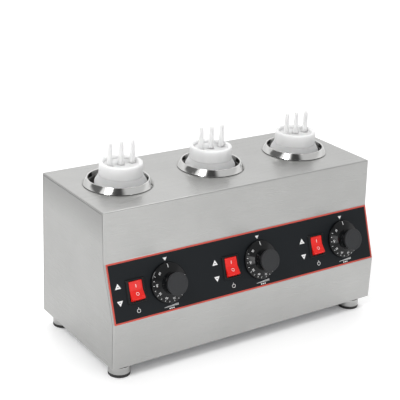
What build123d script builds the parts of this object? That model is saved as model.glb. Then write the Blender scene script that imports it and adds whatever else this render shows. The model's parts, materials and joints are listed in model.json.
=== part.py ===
"""Three-bottle electric sauce warmer, in millimetres.

The origin is on the floor under the middle of the casing. +X points to the right as seen from
the front, +Y to the back and +Z up. The front carries a sloped control panel: places on it are
given by x and by u, measured up the slope from the line of the knob centres, and by h, the
height above the panel's steel face.
"""

import math
import os

from build123d import *

os.makedirs("parts", exist_ok=True)

# ------------------------------------------------------------------ driving dimensions
# Casing
LENGTH = 500.0
BACK_Y = 112.0
FRONT_Y = -112.0
BASE_Z = 22.0
TOP_Z = 256.0
TOP_FRONT_Y = -78.0
PANEL_TOP = (-82.0, 179.4)
PANEL_BOTTOM = (-112.0, 92.8)
SHEET = 1.0
BEND_R = 2.2
SIDE_R = 2.0
SIDE_RETURN = 2.2
SEAM = 0.8
FLANGE = 12.0
BACK_TOP_Z = 242.0
BACK_LAP = 17.0
LAP_WIDTH = 6.0
LAP_GAP = 0.3
VENT_SLOT = (40.0, 4.0)
VENT_PITCH = (60.0, 12.0)
VENT_Z = 210.0
BASE_SLOT = (46.0, 5.0)
BASE_SLOT_PITCH = 14.0

# Zones: one well, bottle, switch and knob each
ZONE_PITCH = 170.0
ZONES = (("left", -ZONE_PITCH), ("middle", 0.0), ("right", ZONE_PITCH))
KNOB_DX = 20.0
SWITCH_DX = -35.5
ARROW_DX = -64.0

# Wells, collars and heaters
WELL_Y = 19.0
WELL_R = 45.0
WELL_FLOOR_Z = 100.0
WELL_FLANGE_R = 51.5
COLLAR_FOOT_R = 54.3
COLLAR_TOP_R = 48.0
COLLAR_BORE_R = 46.0
COLLAR_HEIGHT = 9.7
COLLAR_SHEET = 1.2
COLLAR_LIFT = 0.7
HEATER_Z = (120.0, 190.0)
HEATER_THICK = 2.0
EAR_GAP = 3.0
EAR_DEPTH = 12.0
EAR_SCREW_OUT = 8.0
EAR_SCREW_PITCH = 40.0

# Bottles and caps; each bottle stands loosely in its well, at an offset from the well's axis
BOTTLE_OFFSETS = {"left": (3.5, -2.0), "middle": (-0.8, 0.5), "right": (0.0, 0.0)}
BOTTLE_R = 40.0
BOTTLE_WALL = 1.2
BOTTLE_KICK = 2.5
BOTTLE_STAND_R = 35.0
SHOULDER_Z = 260.6
SHOULDER_TOP_R = 34.2
NECK_R = 30.3
NECK_WALL = 1.5
NECK_BASE_Z = 270.6
NECK_TOP_Z = 281.8
THREAD_GAP = 0.5
CAP_R = 33.8
CAP_TOP_R = 33.1
CAP_BASE_Z = 270.6
CAP_TOP_Z = 291.0
CAP_RECESS_R = 27.3
CAP_FLOOR_Z = 286.0
SEAL_THICK = 1.5
NOZZLE_PITCH = 19.5
NOZZLE_BASE_R = 4.4
NOZZLE_TIP_R = 3.0
NOZZLE_BORE_R = 1.5
NOZZLE_TOP_Z = 322.0

# Control panel
OVERLAY = 0.4
BORDER = 2.4
PRINT = 0.12
ROW_S = 47.6
BORDER_R = 1.5
OVERLAY_MARGIN = 1.0
ARROW_WIDTH = 10.0
ARROW_TALL = 8.0
ARROW_FEET_U = (8.0, -9.6)
ARROW_SLOT = (2.6, 0.9)
POINTER_WIDTH = 7.0
POINTER_TALL = 5.0
POINTER_DOWN = 9.7
HEAT_BARS = 12
HEAT_BAR_WIDTH = 1.0
HEAT_BAR_PITCH = 2.1
HEAT_BAR_TALL = (0.9, 3.2)
HEAT_BARS_U = -36.0
SQUARES_U = -38.4
POWER_U = -30.0
POWER_R = (3.1, 2.5)
POWER_BAR = (0.7, 3.6)

# Knobs and thermostats
KNOB_R = 30.3
KNOB_FOOT_R = 31.2
KNOB_GRIP_R = 17.4
KNOB_WAIST_R = 15.3
KNOB_HEIGHT = 29.0
KNOB_GAP = 1.2
KNOB_RIM_H = 4.3
KNOB_RECESS = (27.5, 3.2)
BAND_OUTER = (29.3, 5.2)
BAND_SLOPE = 0.357
GRIP_MIDDLE_H = 17.0
GRIP_ROUND = 1.5
POINTER_TICK = (0.9, 6.0, 26.0)
TICK = (0.6, 2.0, 27.6)
TICK_ANGLES = (60, 75, 89, 105, 122, 138, 154, 169, 187, 203, 218, 235, 251, 267, 284)
SPINDLE_R = 3.0
SPINDLE_FLAT = 2.0
SPINDLE_H = (-12.0, 20.0)
SPINDLE_FLAT_H = 5.0
SPINDLE_FIT = 0.02
RUNNING = 0.05
BUSH_R = 5.0
BUSH_TOP_H = 0.9
BUSH_HOLE_GAP = 0.4
THERMOSTAT_SIZE = 38.0
THERMOSTAT_BRACKET = (24.0, 1.5)
THERMOSTAT_BACK_H = -26.0
THERMOSTAT_SCREW_PITCH = 28.0
TAB = (6.3, 0.8)
TAB_LENGTH = 8.0
TAB_X = 8.0
BULB_R = 3.0
BULB_LENGTH = 45.0
CAPILLARY_R = 0.8

# Rocker switches
BEZEL = (33.0, 37.0, 2.0)
SWITCH_BODY = (26.4, 33.6)
SWITCH_BACK_H = -20.0
SWITCH_OPENING = (22.8, 30.8)
PADDLE_WIDTH = 22.0
PADDLE_R = 15.1
PADDLE_TIP_U = 13.4
PADDLE_HALF_TILT = 11.0
PADDLE_FOOT = -2.5
PIVOT_H = -2.0
PIVOT_PIN_R = 1.5
PIVOT_PIN_LENGTH = 25.0
CAVITY_H = -11.0
SWITCH_HOLE_GAP = 0.6
SWITCH_TAB_U = 8.0
ON_MARK = (0.8, 4.6)
ON_MARK_U = 7.2
OFF_MARK_R = (2.5, 1.9)
OFF_MARK_U = -6.6
MARK_THICK = 0.16
MARK_SUNK = 0.06

# Feet
FOOT_X = 226.0
FOOT_Y = 89.0
FOOT_R = 17.2
PAD_HEIGHT = 5.0
PAD_PLUG = 3.0
CUP_TOP_Z = 16.5
CUP_SHEET = 1.2
CUP_NECK_R = 9.0
FOOT_BOLT_R = 3.0
FOOT_BOLT_HEAD = 4.0
HEX_R = 5.5
NUT_THICK = 5.0
THREAD_FIT = 0.03

# Fasteners
SCREW_R = 1.8
SCREW_HEAD_R = 3.6
SCREW_HEAD = 2.0
SCREW_HOLE_R = 2.1
INSIDE_SCREW = 10.0

# Cable gland
GLAND_X = 150.0
GLAND_Z = 58.0
GLAND_OUT = 18.5
CORD_HOLE_R = 3.6
GLAND_THREAD_R = 8.0
GLAND_THREAD = 12.0
GLAND_HEX_R = 13.0
GLAND_HEX = 5.0
GLAND_SPIGOT_R = 9.0
GLAND_SPIGOT = 6.0
DOME_GAP = 0.4
DOME_HEX = 7.0
DOME_R = 11.0
DOME_MOUTH_R = 4.5
LOCKNUT = 5.0
SEAL_R = 5.6
SEAL_LENGTH = 12.0

# Internal wiring
WIRE_R = 1.1
WIRE_BEND = 8.0
BLOCK_X = 150.0
BLOCK_Y = 66.0
BLOCK_TOP_Z = 40.0
BLOCK_SIZE = (48.0, 30.0)
BLOCK_FIN = (1.2, 26.0, 4.0)
POLES = (-14.0, 0.0, 14.0)
NEUTRAL_Y = 58.0
LIVE_Y = 74.0
EARTH_X = 200.0
EARTH_Y = 90.0
EARTH_R = 2.0
EARTH_NUT_R = 4.2
EARTH_NUT = 4.0
EARTH_LENGTH = 15.0
EARTH_WIRE_Z = 34.0

# ------------------------------------------------------------------ worked-out values
HALF = LENGTH / 2
CASING_POINTS = (
    (BACK_Y, BASE_Z),
    (BACK_Y, TOP_Z),
    (TOP_FRONT_Y, TOP_Z),
    PANEL_TOP,
    PANEL_BOTTOM,
    (FRONT_Y, BASE_Z),
)
SLOPE_LENGTH = math.dist(PANEL_TOP, PANEL_BOTTOM)
SLOPE_Y = (PANEL_TOP[0] - PANEL_BOTTOM[0]) / SLOPE_LENGTH
SLOPE_Z = (PANEL_TOP[1] - PANEL_BOTTOM[1]) / SLOPE_LENGTH
PANEL_OUT = (0, -SLOPE_Z, SLOPE_Y)
PANEL_UP = (0, SLOPE_Y, SLOPE_Z)
BACK_SCREWS = [(x, BACK_TOP_Z + 6) for x in (-210, -70, 70, 210)]
FLANGE_SCREW_Y = BACK_Y - FLANGE / 2
BASE_SCREWS = [(x, y) for x in (-170, -60, 60, 170) for y in (-FLANGE_SCREW_Y, FLANGE_SCREW_Y)]
BASE_SCREWS += [(x, y) for x in (-HALF + 7, HALF - 7) for y in (-45, 45)]
SWITCH_HOLE = tuple(side_length + SWITCH_HOLE_GAP for side_length in SWITCH_BODY)
FEET = [(x, y) for x in (-FOOT_X, FOOT_X) for y in (-FOOT_Y, FOOT_Y)]
PLATE_Z = BASE_Z + SHEET
PLATE_TOP_Z = PLATE_Z + SHEET


# ------------------------------------------------------------------ helpers
def save(piece, name):
    """Label a finished piece and write its STEP file."""
    piece.part.label = name
    export_step(piece.part, f"parts/{name}.step")


def panel_point(x, u, h):
    """Point at x, u up the slope from the knob line and h above the steel face."""
    down = ROW_S - u
    y = PANEL_TOP[0] - SLOPE_Y * down - SLOPE_Z * h
    z = PANEL_TOP[1] - SLOPE_Z * down + SLOPE_Y * h
    return (x, y, z)


def panel_face(x, u=0.0, h=0.0):
    """Plane parallel to the panel: local x is +X, local y is up the slope."""
    return Plane(origin=panel_point(x, u, h), x_dir=(1, 0, 0), z_dir=PANEL_OUT)


def panel_turned(x):
    """Plane holding a knob's axis: local x is the radius, local y the height above the panel."""
    down_slope = (0, -PANEL_UP[1], -PANEL_UP[2])
    return Plane(origin=panel_point(x, 0, 0), x_dir=(1, 0, 0), z_dir=down_slope)


def turned(plane, about_x=0.0, about_z=0.0):
    """Plane turned in degrees about its own x axis or its own normal."""
    return Plane(plane.location * Rotation(about_x, 0, about_z))


def panel_axis(x):
    """Axis of a knob, out of the panel."""
    return Axis(panel_point(x, 0, 0), PANEL_OUT)


def upright(x, y):
    """Plane holding a vertical axis: local x is the radius, local y the height."""
    return Plane(origin=(x, y, 0), x_dir=(1, 0, 0), z_dir=(0, -1, 0))


def upright_axis(x, y):
    """Vertical axis through x, y."""
    return Axis((x, y, 0), (0, 0, 1))


def casing_outline(inset, x=0.0, bend=0.0):
    """Side outline of the casing at x, inset from its outer faces, with its bends rounded."""
    with BuildSketch(Plane.YZ.offset(x)) as outline:
        with BuildLine():
            Polyline(*CASING_POINTS, close=True)
        make_face()
        if inset > 0:
            offset(amount=-inset, kind=Kind.INTERSECTION)
        if bend > 0:
            fillet(outline.vertices().filter_by(lambda v: v.Y > BASE_Z + 5), bend)
    return outline.sketch


def wire(*points):
    """Solid insulated wire along straight runs joined by arcs."""
    runs = [math.dist(a, b) for a, b in zip(points, points[1:])]
    radii = [min(WIRE_BEND, 0.45 * min(pair)) for pair in zip(runs, runs[1:])]
    with BuildPart() as strand:
        with BuildLine() as route:
            FilletPolyline(*points, radius=radii)
        with BuildSketch(Plane(origin=points[0], z_dir=route.line % 0)):
            Circle(WIRE_R)
        sweep()
    return strand.part


# ------------------------------------------------------------------ casing
with BuildPart() as casing_block:
    extrude(casing_outline(0, bend=BEND_R), amount=HALF, both=True)
    side_rims = casing_block.faces().filter_by(Axis.X).edges()
    fillet(side_rims.filter_by(lambda e: e.center().Z > BASE_Z + SHEET), SIDE_R)
    hollow = casing_outline(SHEET, bend=BEND_R - SHEET)
    extrude(hollow, amount=HALF - SHEET, both=True, mode=Mode.SUBTRACT)
    with Locations((0, 0, BASE_Z)):
        Box(LENGTH - 2 * SHEET, 2 * (BACK_Y - FLANGE), 4 * SHEET, mode=Mode.SUBTRACT)
    for side_x in (-HALF, HALF):
        window = casing_outline(SIDE_RETURN, x=side_x - 1.5 * SHEET)
        extrude(window, amount=3 * SHEET, mode=Mode.SUBTRACT)
        with Locations((side_x, 0, BASE_Z)):
            Box(3 * SHEET, 2 * (BACK_Y - SIDE_RETURN), 8 * SIDE_RETURN, mode=Mode.SUBTRACT)

with BuildPart() as top_front_shell:
    add(casing_block.part)
    with Locations((0, BACK_Y - FLANGE - 1, BASE_Z - 1)):
        Box(
            LENGTH + 2, FLANGE + 2, BACK_TOP_Z - BASE_Z + 1,
            align=(Align.CENTER, Align.MIN, Align.MIN), mode=Mode.SUBTRACT,
        )
    with BuildSketch(Plane.XY.offset(TOP_Z + 1)):
        with Locations(*[(x, WELL_Y) for _, x in ZONES]):
            Circle(WELL_R + SHEET + LAP_GAP)
    extrude(amount=-3 * SHEET, mode=Mode.SUBTRACT)
    for _, zone_x in ZONES:
        with BuildSketch(panel_face(zone_x + SWITCH_DX, h=1)):
            Rectangle(*SWITCH_HOLE)
        extrude(amount=-4 * SHEET, mode=Mode.SUBTRACT)
        with BuildSketch(panel_face(zone_x + KNOB_DX, h=1)):
            Circle(BUSH_R + BUSH_HOLE_GAP)
            with GridLocations(THERMOSTAT_SCREW_PITCH, 0, 2, 1):
                Circle(SCREW_HOLE_R)
        extrude(amount=-4 * SHEET, mode=Mode.SUBTRACT)
    with BuildSketch(Plane.XZ.offset(-BACK_Y - 1)):
        with Locations(*BACK_SCREWS):
            Circle(SCREW_HOLE_R)
    extrude(amount=3 * SHEET, mode=Mode.SUBTRACT)
    with BuildSketch(Plane.XY.offset(BASE_Z - 1)):
        with Locations(*[(x, y) for x, y in BASE_SCREWS if y < -BACK_Y + FLANGE]):
            Circle(SCREW_HOLE_R)
    extrude(amount=3 * SHEET, mode=Mode.SUBTRACT)
save(top_front_shell, "top_front_shell")

with BuildPart() as back_panel:
    add(casing_block.part)
    with Locations((0, BACK_Y - FLANGE - 1, BASE_Z - 1)):
        Box(
            LENGTH + 2, FLANGE + 2, BACK_TOP_Z - SEAM - BASE_Z + 1,
            align=(Align.CENTER, Align.MIN, Align.MIN), mode=Mode.INTERSECT,
        )
    with Locations((0, BACK_Y - 1.5 * SHEET, BACK_TOP_Z + 2)):
        Box(LENGTH - 16, SHEET, BACK_LAP)
    with BuildSketch(Plane.XZ.offset(-BACK_Y - 1)):
        with Locations(*BACK_SCREWS):
            Circle(SCREW_HOLE_R)
        with Locations((0, VENT_Z)):
            with GridLocations(*VENT_PITCH, 6, 2):
                SlotOverall(*VENT_SLOT)
        with Locations((GLAND_X, GLAND_Z)):
            Circle(GLAND_THREAD_R + 0.1)
    extrude(amount=4 * SHEET, mode=Mode.SUBTRACT)
    with BuildSketch(Plane.XY.offset(BASE_Z - 1)):
        with Locations(*[(x, y) for x, y in BASE_SCREWS if y > BACK_Y - FLANGE]):
            Circle(SCREW_HOLE_R)
    extrude(amount=3 * SHEET, mode=Mode.SUBTRACT)
save(back_panel, "back_panel")

LAP_INSET = SHEET + LAP_GAP
PLATE_INSET = SIDE_RETURN + SEAM
for side_name, side in (("left", -1), ("right", 1)):
    plate_x = min(side * HALF, side * (HALF - SHEET))
    lap_x = plate_x - side * SHEET
    with BuildPart() as side_panel:
        extrude(casing_outline(PLATE_INSET, x=plate_x), amount=SHEET)
        with Locations((plate_x + SHEET / 2, 0, BASE_Z)):
            Box(
                SHEET, 2 * (BACK_Y - PLATE_INSET), 10,
                align=(Align.CENTER, Align.CENTER, Align.MIN),
            )
        extrude(casing_outline(LAP_INSET, x=lap_x), amount=SHEET)
        lap_window = casing_outline(PLATE_INSET + LAP_WIDTH, x=lap_x)
        extrude(lap_window, amount=SHEET, mode=Mode.SUBTRACT)
        with Locations((side * HALF, 0, BASE_Z)):
            Box(
                2 * FLANGE, 2 * (BACK_Y - FLANGE - 5), SHEET,
                align=(Align.CENTER, Align.CENTER, Align.MIN),
            )
        with Locations((side * (HALF + 10), 0, BASE_Z)):
            Box(20, LENGTH, 4 * SHEET, mode=Mode.SUBTRACT)
        with BuildSketch(Plane.XY.offset(BASE_Z - 1)):
            with Locations(*[(x, y) for x, y in BASE_SCREWS if side * x > HALF - FLANGE]):
                Circle(SCREW_HOLE_R)
        extrude(amount=3 * SHEET, mode=Mode.SUBTRACT)
    save(side_panel, f"side_panel_{side_name}")

with BuildPart() as base_plate:
    with BuildSketch(Plane.XY.offset(PLATE_Z)):
        RectangleRounded(LENGTH - 4 * SHEET - 1, 2 * BACK_Y - 2 * SHEET - 1.2, 3)
        with Locations(*FEET):
            Circle(FOOT_BOLT_R + LAP_GAP, mode=Mode.SUBTRACT)
        with Locations(*BASE_SCREWS):
            Circle(SCREW_R + 0.1, mode=Mode.SUBTRACT)
        with GridLocations(ZONE_PITCH, BASE_SLOT_PITCH, 3, 3):
            SlotOverall(*BASE_SLOT, mode=Mode.SUBTRACT)
        with Locations((EARTH_X, EARTH_Y)):
            Circle(EARTH_R + 0.1, mode=Mode.SUBTRACT)
    extrude(amount=SHEET)
save(base_plate, "base_plate")

# ------------------------------------------------------------------ printed panel overlay
PANEL_MID_U = ROW_S - SLOPE_LENGTH / 2
OVERLAY_SIZE = (LENGTH - 2 * SIDE_R, SLOPE_LENGTH - 2 * OVERLAY_MARGIN)


def control_holes():
    """Cut-outs of the overlay for the switches, thermostat bushes and screws, drawn at u = 0."""
    for _, zone_x in ZONES:
        with Locations((zone_x + SWITCH_DX, 0)):
            Rectangle(*SWITCH_HOLE, mode=Mode.SUBTRACT)
        with Locations((zone_x + KNOB_DX, 0)):
            Circle(BUSH_R + BUSH_HOLE_GAP, mode=Mode.SUBTRACT)
            with GridLocations(THERMOSTAT_SCREW_PITCH, 0, 2, 1):
                Circle(SCREW_HOLE_R, mode=Mode.SUBTRACT)


with BuildPart() as panel_overlay:
    with BuildSketch(panel_face(0)):
        with Locations((0, PANEL_MID_U)):
            Rectangle(OVERLAY_SIZE[0] - 2 * BORDER, OVERLAY_SIZE[1] - 2 * BORDER)
        control_holes()
    extrude(amount=OVERLAY)
save(panel_overlay, "panel_overlay")

with BuildPart() as overlay_red_border:
    with BuildSketch(panel_face(0)):
        with Locations((0, PANEL_MID_U)):
            RectangleRounded(*OVERLAY_SIZE, BORDER_R)
            inner_size = [side_length - 2 * BORDER for side_length in OVERLAY_SIZE]
            Rectangle(*inner_size, mode=Mode.SUBTRACT)
    extrude(amount=OVERLAY)
save(overlay_red_border, "overlay_red_border")

with BuildPart() as overlay_white_marks:
    for _, zone_x in ZONES:
        # two arrows left of the switch
        with BuildSketch(panel_face(zone_x + ARROW_DX, h=OVERLAY)):
            half = ARROW_WIDTH / 2
            for foot_u, tall in zip(ARROW_FEET_U, (ARROW_TALL, -ARROW_TALL)):
                with BuildLine():
                    Polyline((-half, foot_u), (half, foot_u), (0, foot_u + tall), close=True)
                make_face()
                with Locations((0, foot_u + tall / 3)):
                    Rectangle(*ARROW_SLOT, mode=Mode.SUBTRACT)
        extrude(amount=PRINT)
        with BuildSketch(panel_face(zone_x + KNOB_DX, h=OVERLAY)):
            # pointer over the knob
            half = POINTER_WIDTH / 2
            top = ROW_S - POINTER_DOWN
            with BuildLine():
                Polyline((-half, top), (half, top), (0, top - POINTER_TALL), close=True)
            make_face()
            # rising row of bars under the knob: more heat towards its tall end
            for bar in range(HEAT_BARS):
                bar_x = (bar - (HEAT_BARS - 1) / 2) * HEAT_BAR_PITCH
                tall = HEAT_BAR_TALL[0] + (HEAT_BAR_TALL[1] - HEAT_BAR_TALL[0]) * bar / (HEAT_BARS - 1)
                with Locations((bar_x, HEAT_BARS_U)):
                    Rectangle(HEAT_BAR_WIDTH, tall, align=(Align.CENTER, Align.MIN))
            # three small squares under the bars
            with Locations((0, SQUARES_U)):
                with GridLocations(3.4, 0, 3, 1):
                    Rectangle(2.0, 1.8)
        extrude(amount=PRINT)
        # power sign under the switch: an open ring with a bar through the gap
        with BuildSketch(panel_face(zone_x + SWITCH_DX, h=OVERLAY)):
            with Locations((0, POWER_U)):
                Circle(POWER_R[0])
                Circle(POWER_R[1], mode=Mode.SUBTRACT)
            with Locations((0, POWER_U + POWER_R[0])):
                Rectangle(3 * POWER_BAR[0], 3, mode=Mode.SUBTRACT)
                Rectangle(*POWER_BAR, align=(Align.CENTER, Align.CENTER))
        extrude(amount=PRINT)
save(overlay_white_marks, "overlay_white_marks")

# ------------------------------------------------------------------ wells, collars, heaters
for zone, zone_x in ZONES:
    with BuildPart() as well_can:
        with BuildSketch(upright(zone_x, WELL_Y)):
            with BuildLine():
                Polyline(
                    (0, WELL_FLOOR_Z - SHEET),
                    (WELL_R + SHEET, WELL_FLOOR_Z - SHEET),
                    (WELL_R + SHEET, TOP_Z),
                    (WELL_FLANGE_R, TOP_Z),
                    (WELL_FLANGE_R, TOP_Z + SHEET),
                    (WELL_R, TOP_Z + SHEET),
                    (WELL_R, WELL_FLOOR_Z),
                    (0, WELL_FLOOR_Z),
                    close=True,
                )
            make_face()
        revolve(axis=upright_axis(zone_x, WELL_Y))
    save(well_can, f"well_can_{zone}")

    with BuildPart() as well_collar:
        with BuildSketch(upright(zone_x, WELL_Y)) as collar_section:
            rim_z = TOP_Z + COLLAR_HEIGHT
            with BuildLine():
                Polyline(
                    (COLLAR_FOOT_R, TOP_Z + COLLAR_LIFT),
                    (COLLAR_TOP_R, rim_z),
                    (COLLAR_BORE_R, rim_z),
                    (COLLAR_BORE_R, TOP_Z + SHEET),
                    (COLLAR_BORE_R + SHEET, TOP_Z + SHEET),
                    (COLLAR_BORE_R + SHEET, rim_z - COLLAR_SHEET),
                    (COLLAR_TOP_R - COLLAR_SHEET / 2, rim_z - COLLAR_SHEET),
                    (COLLAR_FOOT_R - COLLAR_SHEET, TOP_Z + COLLAR_LIFT),
                    close=True,
                )
            make_face()
            fillet(collar_section.vertices().filter_by(lambda v: v.Y > rim_z - 0.1), 0.8)
        revolve(axis=upright_axis(zone_x, WELL_Y))
    save(well_collar, f"well_collar_{zone}")

BAND_R = WELL_R + SHEET + 0.05
EAR_SCREW_Y = WELL_Y + BAND_R + EAR_SCREW_OUT
HEATER_MID_Z = sum(HEATER_Z) / 2
with BuildPart() as heater_bands:
    for _, zone_x in ZONES:
        with BuildSketch(Plane.XY.offset(HEATER_Z[0])):
            with Locations((zone_x, WELL_Y)):
                Circle(BAND_R + HEATER_THICK)
                with Locations((0, BAND_R + EAR_DEPTH / 2)):
                    Rectangle(EAR_GAP + 2 * HEATER_THICK, EAR_DEPTH)
                Circle(BAND_R, mode=Mode.SUBTRACT)
                with Locations((0, BAND_R + EAR_DEPTH / 2)):
                    Rectangle(EAR_GAP, EAR_DEPTH + 4, mode=Mode.SUBTRACT)
        extrude(amount=HEATER_Z[1] - HEATER_Z[0])
        with BuildSketch(Plane.YZ.offset(zone_x - 2 * EAR_GAP)):
            with Locations((EAR_SCREW_Y, HEATER_MID_Z)):
                with GridLocations(0, EAR_SCREW_PITCH, 1, 2):
                    Circle(SCREW_HOLE_R)
        extrude(amount=4 * EAR_GAP, mode=Mode.SUBTRACT)
save(heater_bands, "heater_bands")

# ------------------------------------------------------------------ thermostats
with BuildPart() as thermostats:
    for _, zone_x in ZONES:
        knob_x = zone_x + KNOB_DX
        with BuildSketch(panel_face(knob_x, h=-SHEET)):
            RectangleRounded(THERMOSTAT_SIZE, THERMOSTAT_BRACKET[0], 2)
        extrude(amount=-THERMOSTAT_BRACKET[1])
        with BuildSketch(panel_face(knob_x, h=-SHEET - THERMOSTAT_BRACKET[1])):
            RectangleRounded(THERMOSTAT_SIZE, THERMOSTAT_SIZE, 5)
            with GridLocations(THERMOSTAT_SCREW_PITCH, 0, 2, 1):
                Circle(SCREW_HOLE_R + 1, mode=Mode.SUBTRACT)
        extrude(amount=THERMOSTAT_BACK_H + SHEET + THERMOSTAT_BRACKET[1])
        with BuildSketch(panel_face(knob_x, h=-SHEET)):
            Circle(BUSH_R)
        extrude(amount=SHEET + BUSH_TOP_H)
        with BuildSketch(panel_face(knob_x, h=BUSH_TOP_H)):
            Circle(SPINDLE_R + RUNNING)
        extrude(amount=SPINDLE_H[0] - 3, mode=Mode.SUBTRACT)
        with BuildSketch(panel_face(knob_x, h=-SHEET)):
            with GridLocations(THERMOSTAT_SCREW_PITCH, 0, 2, 1):
                Circle(SCREW_R + RUNNING)
        extrude(amount=-THERMOSTAT_BRACKET[1], mode=Mode.SUBTRACT)
        with BuildSketch(panel_face(knob_x, h=THERMOSTAT_BACK_H)):
            with GridLocations(2 * TAB_X, 0, 2, 1):
                Rectangle(*TAB)
        extrude(amount=-TAB_LENGTH)
save(thermostats, "thermostats")

# four screws in each zone: two hold the thermostat and two close the heater band
with BuildPart() as inside_screws:
    for _, zone_x in ZONES:
        ear_face_x = zone_x - EAR_GAP / 2 - HEATER_THICK
        screw_faces = [
            panel_face(zone_x + KNOB_DX + dx, h=OVERLAY)
            for dx in (-THERMOSTAT_SCREW_PITCH / 2, THERMOSTAT_SCREW_PITCH / 2)
        ]
        screw_faces += [
            Plane(origin=(ear_face_x, EAR_SCREW_Y, HEATER_MID_Z + dz), z_dir=(-1, 0, 0))
            for dz in (-EAR_SCREW_PITCH / 2, EAR_SCREW_PITCH / 2)
        ]
        for screw_face in screw_faces:
            with BuildSketch(screw_face):
                Circle(SCREW_HEAD_R)
            extrude(amount=SCREW_HEAD)
            with BuildSketch(screw_face):
                Circle(SCREW_R)
            extrude(amount=-INSIDE_SCREW)
save(inside_screws, "inside_screws")

BULB_Y = WELL_Y - WELL_R - SHEET - BULB_R - RUNNING
with BuildPart() as thermostat_capillaries:
    for _, zone_x in ZONES:
        with BuildSketch(Plane.XY.offset(HEATER_Z[1] + 10)):
            with Locations((zone_x, BULB_Y)):
                Circle(BULB_R)
        extrude(amount=BULB_LENGTH)
        tube_start = panel_point(zone_x + KNOB_DX, -12, THERMOSTAT_BACK_H)
        tube_out = panel_point(zone_x + KNOB_DX, -12, THERMOSTAT_BACK_H - 18)
        tube_points = (
            tube_start,
            tube_out,
            (zone_x, tube_out[1] + 6, 170),
            (zone_x, BULB_Y, HEATER_Z[1] - 2),
            (zone_x, BULB_Y, HEATER_Z[1] + 10),
        )
        with BuildLine() as tube_route:
            FilletPolyline(*tube_points, radius=(7, 14, 5))
        with BuildSketch(Plane(origin=tube_start, z_dir=tube_route.line % 0)):
            Circle(CAPILLARY_R)
        sweep(path=tube_route.line)
save(thermostat_capillaries, "thermostat_capillaries")

# ------------------------------------------------------------------ knobs
def band_height(radius):
    """Height of the knob's conical dial band above the panel at a radius."""
    return BAND_OUTER[1] + BAND_SLOPE * (BAND_OUTER[0] - radius)


GRIP_FOOT = (KNOB_WAIST_R + 1.2, band_height(KNOB_WAIST_R + 1.2))
GRIP_TOP = (KNOB_GRIP_R, KNOB_HEIGHT - GRIP_ROUND)
for zone, zone_x in ZONES:
    knob_x = zone_x + KNOB_DX
    with BuildPart() as spindle:
        with BuildSketch(panel_face(knob_x, h=SPINDLE_H[0])):
            Circle(SPINDLE_R)
        extrude(amount=SPINDLE_H[1] - SPINDLE_H[0])
        with BuildSketch(panel_face(knob_x, h=SPINDLE_FLAT_H)):
            with Locations((0, SPINDLE_FLAT)):
                Rectangle(4 * SPINDLE_R, SPINDLE_R, align=(Align.CENTER, Align.MIN))
        extrude(amount=SPINDLE_H[1], mode=Mode.SUBTRACT)
    save(spindle, f"thermostat_spindle_{zone}")

    with BuildPart() as knob:
        with BuildSketch(panel_turned(knob_x)):
            with BuildLine():
                Polyline(
                    (0, KNOB_HEIGHT),
                    (0, KNOB_RECESS[1]),
                    KNOB_RECESS,
                    (KNOB_RECESS[0] + 0.7, KNOB_GAP),
                    (KNOB_FOOT_R, KNOB_GAP),
                    (KNOB_R, KNOB_RIM_H),
                    BAND_OUTER,
                    GRIP_FOOT,
                )
                grip = ThreePointArc(GRIP_FOOT, (KNOB_WAIST_R, GRIP_MIDDLE_H), GRIP_TOP)
                crown = TangentArc(
                    GRIP_TOP, (KNOB_GRIP_R - GRIP_ROUND, KNOB_HEIGHT), tangent=grip % 1
                )
                Line(crown @ 1, (0, KNOB_HEIGHT))
            make_face()
        revolve(axis=panel_axis(knob_x))
        with BuildSketch(panel_face(knob_x, h=KNOB_RECESS[1])):
            Circle(SPINDLE_R + SPINDLE_FIT)
            with Locations((0, SPINDLE_FLAT + SPINDLE_FIT)):
                Rectangle(
                    4 * SPINDLE_R, SPINDLE_R, align=(Align.CENTER, Align.MIN), mode=Mode.SUBTRACT
                )
        extrude(amount=SPINDLE_H[1] + 0.2 - KNOB_RECESS[1], mode=Mode.SUBTRACT)
        with BuildSketch(panel_face(knob_x, h=KNOB_RECESS[1])):
            Circle(SPINDLE_R + SPINDLE_FIT)
        extrude(amount=SPINDLE_FLAT_H - KNOB_RECESS[1], mode=Mode.SUBTRACT)
    save(knob, f"knob_{zone}")

    with BuildPart() as knob_marks:
        tilt = math.degrees(math.atan(BAND_SLOPE))
        for angle in (0,) + TICK_ANGLES:
            width, length, radius = POINTER_TICK if angle == 0 else TICK
            tick_face = turned(panel_face(knob_x), about_z=angle)
            spot = tick_face.from_local_coords((0, radius, band_height(radius) - 0.1))
            flat = Plane(origin=spot, x_dir=tick_face.x_dir, z_dir=tick_face.z_dir)
            with BuildSketch(turned(flat, about_x=-tilt)):
                Rectangle(width, length)
            extrude(amount=0.22)
    save(knob_marks, f"knob_marks_{zone}")

# ------------------------------------------------------------------ rocker switches
def pivot_plane(switch_x, tilt):
    """Plane parallel to the panel through a rocker's pivot, tilted about X."""
    return turned(panel_face(switch_x, h=PIVOT_H), about_x=tilt)


TIP_H = math.sqrt(PADDLE_R**2 - PADDLE_TIP_U**2)
VALLEY_H = TIP_H - PADDLE_TIP_U * math.tan(math.radians(PADDLE_HALF_TILT))
FACE_OFFSET = VALLEY_H * math.cos(math.radians(PADDLE_HALF_TILT))
BEZEL_TOP_H = OVERLAY + BEZEL[2]

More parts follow.
